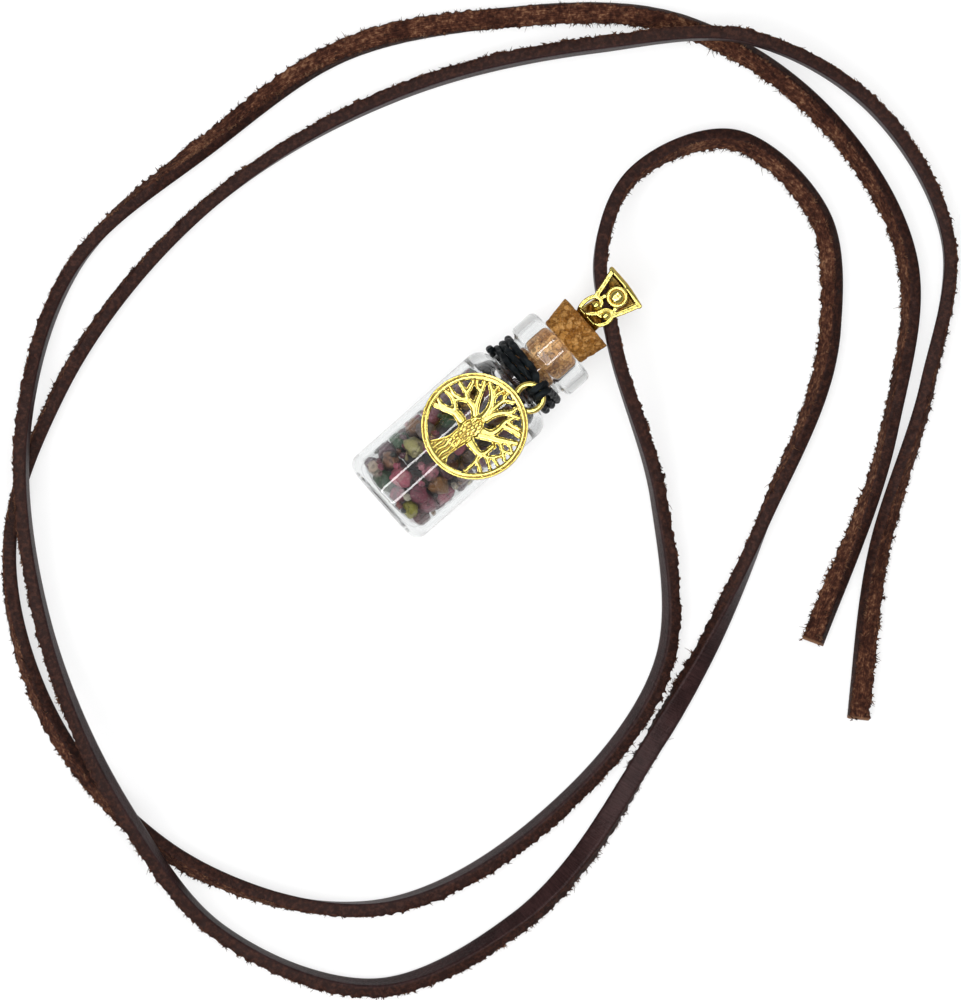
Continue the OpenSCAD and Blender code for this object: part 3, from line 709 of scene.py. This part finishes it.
cork = {
    "start": 26.8, "mouth": 34.4, "top": 39.0, "inRadius": 3.52, "lipRadius": 3.8, "topRadius": 4.55,
    "edge": 0.14, "step": 0.13, "steps": 176, "pits": 0.30, "lumps": 0.12,
    # lighter and lifted scale and shift the colour of the cork inside the glass: painted light
    "lighter": (2.7, 2.9, 3.6), "lifted": (-0.17, -0.06, 0.02),
}


def corkRadius(x):
    c = cork
    if x < c["mouth"]:
        return c["inRadius"]
    t = (x - c["mouth"]) / (c["top"] - c["mouth"])
    pinch = (c["lipRadius"] - c["inRadius"]) * smoothStep(0.06, 0.0, t)
    return c["lipRadius"] + (c["topRadius"] - c["lipRadius"]) * t - pinch


def makeCork():
    c = cork
    line = [(c["start"], r * c["step"]) for r in range(int((c["inRadius"] - c["edge"]) / c["step"]))]
    line += arcPoints(c["start"] + c["edge"], c["inRadius"] - c["edge"], c["edge"], c["edge"], -90, 0, 3)
    x = c["start"] + c["edge"] + c["step"]
    while x < c["top"] - c["edge"]:
        line.append((x, corkRadius(x)))
        x += c["step"]
    line += arcPoints(c["top"] - c["edge"], c["topRadius"] - c["edge"] - 0.02, c["edge"], c["edge"], 0, 90, 3)
    r = c["topRadius"] - c["edge"] - c["step"]
    while r > 0:
        line.append((c["top"], r))
        r -= c["step"]
    line.append((c["top"], 0.0))
    bm = bmesh.new()
    spinProfile(bm, line, c["steps"])
    piece = keepMesh(bm, "cork")

    def pitted(p, n):
        free = smoothStep(c["mouth"] + baseX, c["mouth"] + baseX + 0.4, p.x)
        pit = smoothStep(0.12, 0.42, noise.noise(p * 1.5 + Vector((3, 1, 7)))) * 0.8
        pit += smoothStep(0.12, 0.5, noise.noise(p * 3.1)) * 0.6
        lump = noise.noise(p * 0.7) + 0.6 * noise.noise(p * 2.2) + 0.4 * noise.noise(p * 4.1)
        return (-c["pits"] * pit + c["lumps"] * min(lump, 0.2)) * (0.25 + 0.75 * free) - 0.02

    pushVertices(piece, pitted)
    return piece


def corkFinish():
    f = Finish("cork")
    at = f.place()
    push = f.node("VectorMath", {"operation": "SCALE"}, {0: f.noise(at, 1500, 3, output=1), "Scale": 0.0011})
    wobble = f.node("VectorMath", {"operation": "ADD"}, {0: at, 1: push})
    tone = f.node("SeparateColor", None, {"Color": f.cells(wobble, 1300, output="Color")})
    seam = f.cells(wobble, 1300, "DISTANCE_TO_EDGE")
    fine = f.noise(at, 3200, 4, 0.7)
    broad = f.noise(at, 900, 5, 0.7)
    shade = f.ramp(tone * 0.4 + broad * 0.7, [(0.2, (0.075, 0.024, 0.003)), (0.42, (0.25, 0.098, 0.014)),
                                              (0.62, (0.37, 0.17, 0.036)), (0.85, (0.53, 0.29, 0.095))])
    shade = f.blend(f.span(seam, 0.12, 0.0) * 0.6, shade, (0.10, 0.036, 0.006))
    shade = f.blend(f.span(fine, 0.54, 0.68) * 0.8, shade, (0.055, 0.018, 0.004))
    shade = f.blend(f.span(fine, 0.45, 0.25) * 0.5, shade, (0.66, 0.42, 0.19))
    # painted light: the cork inside the glass is made lighter and more contrasty, standing for the light the
    # glass adds, only because it looks lighter in the photograph
    mouth = cork["mouth"] + baseX
    paintedLightShare = f.span(f.axis(at, "X"), (mouth + 0.3) * mm, (mouth - 0.3) * mm)
    lighter = f.node("VectorMath", {"operation": "MULTIPLY_ADD"},
                     {0: shade, 1: cork["lighter"], 2: cork["lifted"]})
    shade = f.blend(paintedLightShare, shade, lighter)
    return f.close({"Base Color": shade, "Roughness": f.span(fine, 0.2, 0.8, (0.8, 0.95)),
                    "Specular IOR Level": 0.12,
                    "Normal": f.bump(fine * -0.7 + f.span(seam, 0.0, 0.12) * 0.3, 0.8, 0.25)})


corkPiece = makeCork()
wear(corkPiece, corkFinish())
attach(corkPiece, "root")
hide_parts("cork_stopper")
print("cork made")


# ---- Tree charm

charm = {
    "at": 17.2, "across": -0.65, "lift": 7.58, "lean": 5.0, "radius": 7.6, "open": 6.65, "thick": 1.4,
    "loopReach": 8.75, "loopTurn": 14.0, "loopMid": 1.9, "voxel": 0.085, "rounds": 7,
    # the trunk's middle and width along it, in shares of the open radius
    "trunk": [(-1.0, 0.12, 0.66), (-0.8, 0.11, 0.42), (-0.56, 0.05, 0.34), (-0.3, 0.03, 0.38),
              (-0.08, 0.02, 0.4), (0.12, -0.01, 0.28), (0.22, -0.02, 0.12)],
    "groove": 0.13, "bark": 0.20, "dome": 0.42, "swell": 1.25,
    # branches as in the CAD part: start width, end width and points, in shares of the open radius
    "branches": [
        (0.2, 0.1, [(-0.2, 0.1), (-0.12, 0.3), (-0.11, 0.5), (-0.2, 0.68), (-0.29, 0.84), (-0.35, 0.98)]),
        (0.11, 0.09, [(-0.11, 0.5), (0.02, 0.68), (0.06, 0.82), (0.03, 1.0)]),
        (0.1, 0.09, [(-0.18, 0.66), (-0.22, 0.82), (-0.19, 1.0)]),
        (0.16, 0.09, [(0.1, 0.1), (0.26, 0.34), (0.27, 0.5), (0.18, 0.63), (0.05, 0.7)]),
        (0.1, 0.08, [(0.26, 0.5), (0.33, 0.66), (0.37, 0.82), (0.38, 0.95)]),
        (0.09, 0.07, [(0.17, 0.64), (0.13, 0.8), (0.16, 0.98)]),
        (0.16, 0.09, [(0.06, 0.06), (0.28, 0.29), (0.5, 0.42), (0.68, 0.51), (0.83, 0.6)]),
        (0.09, 0.08, [(0.58, 0.47), (0.62, 0.62), (0.71, 0.72)]),
        (0.1, 0.09, [(0.31, 0.64), (0.46, 0.68), (0.6, 0.74), (0.66, 0.8)]),
        (0.18, 0.09, [(0.1, 0.02), (0.44, 0.05), (0.66, 0.18), (0.78, 0.33), (0.86, 0.5)]),
        (0.08, 0.08, [(0.74, 0.24), (0.86, 0.29), (0.98, 0.3)]),
        (0.08, 0.08, [(0.66, 0.17), (0.82, 0.19), (1.0, 0.15)]),
        (0.12, 0.08, [(0.36, 0.01), (0.62, 0.01), (0.82, -0.01), (0.91, -0.1), (0.96, -0.2)]),
        (0.08, 0.08, [(0.8, 0.0), (0.9, 0.06), (1.0, 0.07)]),
        (0.14, 0.09, [(0.24, -0.04), (0.5, -0.1), (0.65, -0.2), (0.78, -0.29), (0.94, -0.31)]),
        (0.08, 0.08, [(0.67, -0.22), (0.76, -0.38), (0.83, -0.52)]),
        (0.16, 0.09, [(0.02, -0.1), (0.15, -0.34), (0.35, -0.39), (0.54, -0.37), (0.74, -0.42)]),
        (0.08, 0.08, [(0.58, -0.38), (0.61, -0.52), (0.68, -0.7)]),
        (0.1, 0.13, [(0.46, -0.4), (0.54, -0.6), (0.6, -0.8)]),
        (0.2, 0.1, [(-0.1, -0.08), (0.06, -0.34), (0.18, -0.55), (0.3, -0.71), (0.44, -0.88)]),
        (0.09, 0.08, [(0.19, -0.56), (0.12, -0.73), (0.05, -0.86), (-0.02, -0.98)]),
        (0.07, 0.07, [(0.1, -0.8), (0.17, -0.9), (0.19, -1.0)]),
        (0.08, 0.07, [(0.3, -0.71), (0.27, -0.84), (0.21, -0.95)]),
        (0.2, 0.1, [(-0.28, 0.0), (-0.31, -0.28), (-0.32, -0.46), (-0.3, -0.58)]),
        (0.1, 0.1, [(-0.32, -0.5), (-0.2, -0.58), (-0.08, -0.58), (0.0, -0.58)]),
        (0.1, 0.07, [(-0.31, -0.52), (-0.23, -0.68), (-0.12, -0.78), (-0.02, -0.83), (0.05, -0.86)]),
        (0.07, 0.07, [(-0.15, -0.76), (-0.17, -0.88), (-0.2, -1.0)]),
        (0.08, 0.07, [(-0.24, -0.66), (-0.31, -0.8), (-0.38, -0.94)]),
        (0.09, 0.08, [(-0.32, -0.5), (-0.46, -0.58), (-0.5, -0.7), (-0.57, -0.84)]),
        (0.08, 0.07, [(-0.44, -0.56), (-0.62, -0.59), (-0.82, -0.57)]),
    ],
}
charmLean = math.radians(charm["lean"])
charmHigh = charm["lift"] + charm["thick"] / 2
charmShift = (charm["across"] - charmHigh * math.sin(charmLean)) / math.cos(charmLean)


def onCharm(p):
    # a place in the frame, in millimetres, as seen from the middle of the disc's underside
    q = Matrix.Rotation(charmLean, 3, "X") @ (p - Vector((baseX, 0, axisZ)))
    return q - Vector((charm["at"], charmShift, charm["lift"]))


def trunkShare(x, y):
    # 1 within the trunk, 0 outside it
    x, y = x / charm["open"], y / charm["open"]
    line = charm["trunk"]
    for (x0, y0, w0), (x1, y1, w1) in zip(line, line[1:]):
        if x0 <= x <= x1:
            t = (x - x0) / (x1 - x0)
            half = (w0 + (w1 - w0) * t) / 2
            return smoothStep(half, half - 0.05, abs(y - (y0 + (y1 - y0) * t)))
    return 0.0


def branchLines():
    # points along the branches' middles with half their widths, in millimetres on the disc
    tree = []
    for w0, w1, points in charm["branches"]:
        route = smoothRoute([(x * charm["open"], y * charm["open"], 0) for x, y in points], 0.15)
        for i, p in enumerate(route):
            tree.append((p, (w0 + (w1 - w0) * i / len(route)) * charm["open"] * charm["swell"] / 2))
    return tree


def shapeCharm(piece):
    tree = branchLines()
    near = KDTree(len(tree))
    for i, (p, _) in enumerate(tree):
        near.insert(p, i)
    near.balance()

    def relief(p, n):
        q = onCharm(p)
        r = math.hypot(q.x, q.y)
        up = smoothStep(0.25, 0.8, (Matrix.Rotation(charmLean, 3, "X") @ n).z)
        cast = 0.014 * noise.noise(p * 1.3) + 0.007 * noise.noise(p * 4)
        if up == 0:
            return cast
        if r > charm["open"] - 0.1:
            edge = abs(r - (charm["radius"] - 0.34))
            inner = smoothStep(charm["open"] + 0.3, charm["open"], r)
            line = up * charm["groove"] * smoothStep(0.16, 0.02, edge) * (r < charm["radius"] + 0.1)
            return cast - line - 0.1 * inner * up
        trunk = trunkShare(q.x, q.y)
        spot = Vector((q.x, q.y, 0))
        share = min((spot - tree[i][0]).length / tree[i][1] for _, i, _ in near.find_n(spot, 5))
        dome = -charm["dome"] * (1 - math.sqrt(max(0.0, 1 - min(share, 1.0) ** 2)))
        cells = noise.voronoi(Vector((q.x * 1.35, q.y * 2.1, 0.5)))[0]
        scales = smoothStep(0.0, 0.30, cells[1] - cells[0])
        streak = 0.5 + 0.5 * math.sin(q.y * 9 + 2.2 * noise.noise(Vector((q.x * 0.9, q.y, 2))))
        root = smoothStep(-3.6, -4.6, q.x)
        bark = charm["bark"] * ((scales - 0.7) * (1 - root) + (streak - 0.7) * root)
        return cast + up * (dome * (1 - trunk) + (bark - 0.2 * smoothStep(-1.0, 0.9, q.x)) * trunk)

    pushVertices(piece, relief)
    ease = piece.modifiers.new("ease", "SMOOTH")
    ease.factor, ease.iterations = 0.4, 2
    settle(piece)


def goldFinish():
    f = Finish("gold")
    at = f.place()
    cloud = f.noise(at, 300, 3)
    fine = f.noise(at, 2600, 3, 0.6)
    # hollow marks the narrow recesses, for their painted shade and their rougher metal
    hollow = f.span(f.node("NewGeometry", output="Pointiness"), 0.44, 0.505)
    facing = f.axis(f.node("NewGeometry", output="Normal"), "Z")
    shade = f.blend(f.span(cloud, 0.3, 0.7), (0.54, 0.445, 0.115), (0.63, 0.535, 0.16))
    # painted shade: surfaces that slope away from straight up are darker and more orange
    shade = f.blend(f.span(facing, 0.90, 0.35) * 0.85, shade, (0.46, 0.27, 0.02))
    # painted shade: the narrow recesses are dark brown
    shade = f.blend(hollow, (0.20, 0.085, 0.006), shade)
    # painted shade: the walls that look into the bail are nearly black-brown
    shade = f.blend(f.mark("inside"), shade, (0.075, 0.028, 0.003))
    dull = f.span(fine + (1 - hollow) * 0.5, 0.3, 1.0, (0.13, 0.30))
    return f.close({"Base Color": shade, "Metallic": 1.0, "Roughness": dull,
                    "Normal": f.bump(fine * 0.4 + cloud * 0.6, 0.14, 0.12)})


gold = goldFinish()
charmPiece = softenCast(solidCopy("tree_charm", "charm"), charm["voxel"], charm["rounds"])
shapeCharm(charmPiece)
wear(charmPiece, gold)
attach(charmPiece, "root")
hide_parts("tree_charm")
print("charm made:", len(charmPiece.data.polygons))


# ---- Bail

bail = {
    "start": 39.05, "front": 2.4, "middle": 3.8, "boss": (5.55, -0.24), "bossRing": 1.28, "bossWire": 0.24,
    # place on the front plate, lift off it and the three radii of each ball
    "balls": [((5.55, -0.24), 0.06, (1.04, 1.04, 0.66)), ((2.58, -1.18), -0.1, (0.60, 0.57, 0.50)),
              ((2.58, 0.86), -0.1, (0.55, 0.52, 0.46))],
    "groove": 0.10, "grooveAt": 1.03, "swell": 0.07, "voxel": 0.075, "rounds": 12,
}


def addLump(bm, x, y, z, sizes):
    # a flattened ball on the bail's front plate
    spot = onBottle(bail["start"] + x, y, bail["front"] + z)
    place = Matrix.Translation(spot) @ Matrix.Diagonal((*[s * mm for s in sizes], 1))
    bmesh.ops.create_uvsphere(bm, u_segments=32, v_segments=20, radius=1, matrix=place)


def addHoop(bm, x, y, radius, wire):
    # a ring lying on the bail's front plate
    spot = onBottle(bail["start"] + x, y, bail["front"])
    place = Matrix.Translation(spot + Vector((radius * mm, 0, 0))) @ Matrix.Rotation(math.pi / 2, 4, "X")
    start = bmesh.ops.create_circle(bm, segments=16, radius=wire * mm, matrix=place)["verts"]
    edges = list({e for v in start for e in v.link_edges})
    bmesh.ops.spin(bm, geom=start + edges, cent=spot, axis=(0, 0, 1),
                   angle=fullTurn, steps=64, use_merge=True)


def makeBail():
    piece = solidCopy("bail", "bail")
    bm = bmesh.new()
    bx, by = bail["boss"]
    addHoop(bm, bx, by, bail["bossRing"], bail["bossWire"])
    for (x, y), z, sizes in bail["balls"]:
        addLump(bm, x, y, z, sizes)
    bmesh.ops.remove_doubles(bm, verts=bm.verts, dist=1e-7)
    bmesh.ops.recalc_face_normals(bm, faces=bm.faces)
    bm.from_mesh(piece.data)
    bm.to_mesh(piece.data)
    bm.free()
    softenCast(piece, bail["voxel"], bail["rounds"])

    def cast(p, n):
        # the boss has a groove between its ring and its ball
        r = math.hypot(p.x - baseX - bail["start"] - bx, p.y - by)
        dip = smoothStep(0.12, 0.03, abs(r - bail["grooveAt"])) * smoothStep(0.5, 0.9, n.z) * (p.z > axisZ)
        even = bail["swell"] - bail["groove"] * dip
        return even + 0.02 * noise.noise(p * 1.6) + 0.01 * noise.noise(p * 4.5)

    pushVertices(piece, cast)
    # marks the walls that look into the bail, for the painted shade inside it
    inside = piece.data.attributes.new("inside", "FLOAT", "POINT")
    middle = onBottle(bail["start"] + bail["middle"])
    for v, mark in zip(piece.data.vertices, inside.data):
        mark.value = smoothStep(0.0, 0.6, v.normal.dot((middle - v.co).normalized()))
    return piece


bailPiece = makeBail()
wear(bailPiece, gold)
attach(bailPiece, "root")
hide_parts("bail")
print("bail made:", len(bailPiece.data.polygons))


# ---- Neck thread

thread = {
    "size": 1.06, "pitch": 1.05, "radius": 5.55, "start": 26.15, "wrapRadius": 1.08,
    "around": 20, "ringStep": 0.11, "strand": 0.10, "lay": 2.2,
    # degrees wound where it leaves the neck, comes back and ends, and the ways between, as in the CAD part
    "rise": 825, "fall": 925, "end": 1120,
    "up": [(0.2, -0.8, -3.4), (0.12, -0.3, -1.6)], "down": (1.3, 1.2, -0.85),
}


def wound(a, lift=0.02):
    t = math.radians(180 + a)
    x, r = thread["start"] + thread["pitch"] * max(a, 0) / 360, thread["radius"] + lift
    return Vector((x, r * math.sin(t), r * math.cos(t)))


def loopWire(off):
    # middle of the charm's loop wire on its cork side
    turn = math.radians(charm["loopTurn"])
    x = charm["at"] + charm["loopReach"] * math.cos(turn) + math.sqrt(charm["loopMid"] ** 2 - off * off)
    y = charmShift - charm["loopReach"] * math.sin(turn) + off
    return Matrix.Rotation(-charmLean, 3, "X") @ Vector((x, y, charmHigh))


def threadRoute():
    pitch, r = thread["pitch"], thread["wrapRadius"]
    turns = [math.radians(t) for t in range(12, 621, 32)]
    wrap = [loopWire(pitch * (t / fullTurn - 1)) + Vector((math.cos(t), 0, math.sin(t))) * r for t in turns]
    points = [wound(a, 0.03 + pitch * math.sqrt(1 - (1 + a / 360) ** 2)) for a in range(-110, 1, 22)]
    points += [wound(a) for a in range(25, thread["rise"] + 1, 25)]
    points += [wrap[0] + Vector(step) for step in thread["up"]] + wrap
    points += [wrap[-1] + Vector(thread["down"]), wound(thread["fall"] - 20, 0.12)]
    points += [wound(a) for a in range(thread["fall"], thread["end"] + 1, 15)]
    return smoothRoute(points, thread["ringStep"])


def makeThread():
    route = threadRoute()
    rings, last = [], len(route) - 1
    out, gone = Vector((1, 0, 0)), 0.0
    for i, p in enumerate(route):
        along = (route[min(i + 1, last)] - route[max(i - 1, 0)]).normalized()
        out = (out - along * out.dot(along)).normalized()
        side = out.cross(along)
        gone += (p - route[i - 1]).length if i else 0
        ring = []
        for k in range(thread["around"]):
            t = fullTurn * k / thread["around"]
            lay = fullTurn * gone / thread["lay"]
            plait = max(math.sin(3 * t + lay), math.sin(3 * t - lay + 1))
            worn = 0.02 * noise.noise(p * 1.7 + Vector((math.cos(t), math.sin(t), 0)))
            r = thread["size"] / 2 + thread["strand"] * (plait - 0.75) + worn
            ring.append(onBottle(*(p + (out * math.cos(t) + side * math.sin(t)) * r)))
        rings.append(ring)
    return wrapTube("thread", rings)


def threadFinish():
    f = Finish("thread")
    at = f.place()
    waxy = f.noise(at, 700, 3)
    strand = f.noise(f.place((1, 30, 1), "UV"), 260, 3, 0.6)
    shade = f.blend(f.span(waxy, 0.35, 0.75), (0.0024, 0.0034, 0.0042), (0.008, 0.0115, 0.0135))
    dull = f.span(strand * 0.5 + waxy * 0.5, 0.3, 0.7, (0.28, 0.6))
    return f.close({"Base Color": shade, "Roughness": dull, "Specular IOR Level": 0.08,
                    "Normal": f.bump(strand, 0.4, 0.06)})


threadPiece = makeThread()
wear(threadPiece, threadFinish())
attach(threadPiece, "root")
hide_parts("neck_thread")
print("thread made:", len(threadPiece.data.polygons))


# ---- Table, light

studio = {
    "bounces": 32,
    "tableSize": 3.0,
    "tableDrop": 0.0001,  # keeps the table clear of what lies on it
    "table": (0.32, 0.32, 0.32),
    "glow": 0.63,  # the table is a lit panel, so that hardly a shadow falls on it
    "sky": 0.62,
    # height and brightness
    "skyBands": [(0.0, 1.0), (0.25, 0.95), (0.42, 0.4), (0.7, 0.35), (0.88, 0.85), (1.0, 1.1)],
    # place, side lengths along X and Y, turn about X and about Y, watts, and what the lamp is for:
    # shine is seen only in reflections, soft lights only matt surfaces
    "lamps": {
        "leftStrip": ((-0.316, 0.624, 1.6), (2.97, 0.13), (-21.5, 0), 17.0, "shine"),
        "rightStrip": ((-0.316, -0.482, 1.6), (2.97, 0.13), (16.9, 0), 17.0, "shine"),
        "endStrip": ((-1.37, 0.071, 1.6), (0.86, 1.1), (0, 0), 26.0, "shine"),
        "endGlow": ((-0.62, 0.071, 1.6), (0.64, 1.1), (0, 0), 3.0, "shine"),
        "dropGlow": ((-0.1675, 0.071, 1.6), (0.265, 1.1), (0, 0), 3.4, "shine"),
        "farGlow": ((0.75, 0.071, 1.5), (0.8, 1.1), (0, 25), 4.0, "shine"),
        "top": ((0.025, 0.071, 1.6), (0.05, 1.1), (0, 0), 0.2, "shine"),
        "above": ((0.2, 0.0, 1.7), (1.2, 1.2), (0, 0), 18.0, "soft"),
        "side": ((-0.9, 0.1, 1.3), (0.8, 0.8), (0, -35), 12.0, "soft")},
}


def makeLamp(place, sides, turns, power, use):
    data = bpy.data.lights.new("lamp", "AREA")
    data.shape, data.energy = "RECTANGLE", power
    data.size, data.size_y = sides
    lamp = bpy.data.objects.new("lamp", data)
    lamp.location = place
    lamp.rotation_euler = (math.radians(turns[0]), math.radians(turns[1]), 0)
    lamp.visible_diffuse, lamp.visible_glossy = use == "soft", use == "shine"
    lamp.visible_transmission = False  # the glass lets the lamps' light through once, as shadow rays
    bpy.context.scene.collection.objects.link(lamp)


def makeStudio():
    bm = bmesh.new()
    bmesh.ops.create_grid(bm, x_segments=1, y_segments=1, size=studio["tableSize"])
    table = keepMesh(bm, "table")
    table.location.z = -studio["tableDrop"]
    f = Finish("table")
    grey = f.noise(f.place(), 6, 2)
    table.data.materials.append(f.close({
        "Base Color": f.blend(grey, studio["table"], [c * 0.985 for c in studio["table"]]),
        "Roughness": 0.7, "Emission Color": (1, 1, 1, 1), "Emission Strength": studio["glow"]}))
    for lamp in studio["lamps"].values():
        makeLamp(*lamp)
    world = bpy.data.worlds.new("room")
    bpy.context.scene.world = world
    world.use_nodes = True
    nodes, links = world.node_tree.nodes, world.node_tree.links
    nodes.clear()
    back, out = nodes.new("ShaderNodeBackground"), nodes.new("ShaderNodeOutputWorld")
    where, split = nodes.new("ShaderNodeTexCoord"), nodes.new("ShaderNodeSeparateXYZ")
    ramp = nodes.new("ShaderNodeValToRGB")
    links.new(where.outputs["Generated"], split.inputs[0])
    links.new(split.outputs["Z"], ramp.inputs["Fac"])
    stops = ramp.color_ramp.elements
    while len(stops) < len(studio["skyBands"]):
        stops.new(0.5)
    for stop, (place, value) in zip(stops, studio["skyBands"]):
        stop.position, stop.color = place, (value, value, value, 1)
    links.new(ramp.outputs["Color"], back.inputs["Color"])
    back.inputs["Strength"].default_value = studio["sky"]
    links.new(back.outputs["Background"], out.inputs["Surface"])
    scene = bpy.context.scene
    scene.view_settings.view_transform = "Standard"
    # the light goes through many faces of the bottle
    cycles = scene.cycles
    cycles.max_bounces = cycles.transmission_bounces = cycles.glossy_bounces = studio["bounces"]


makeStudio()
print("studio ready")
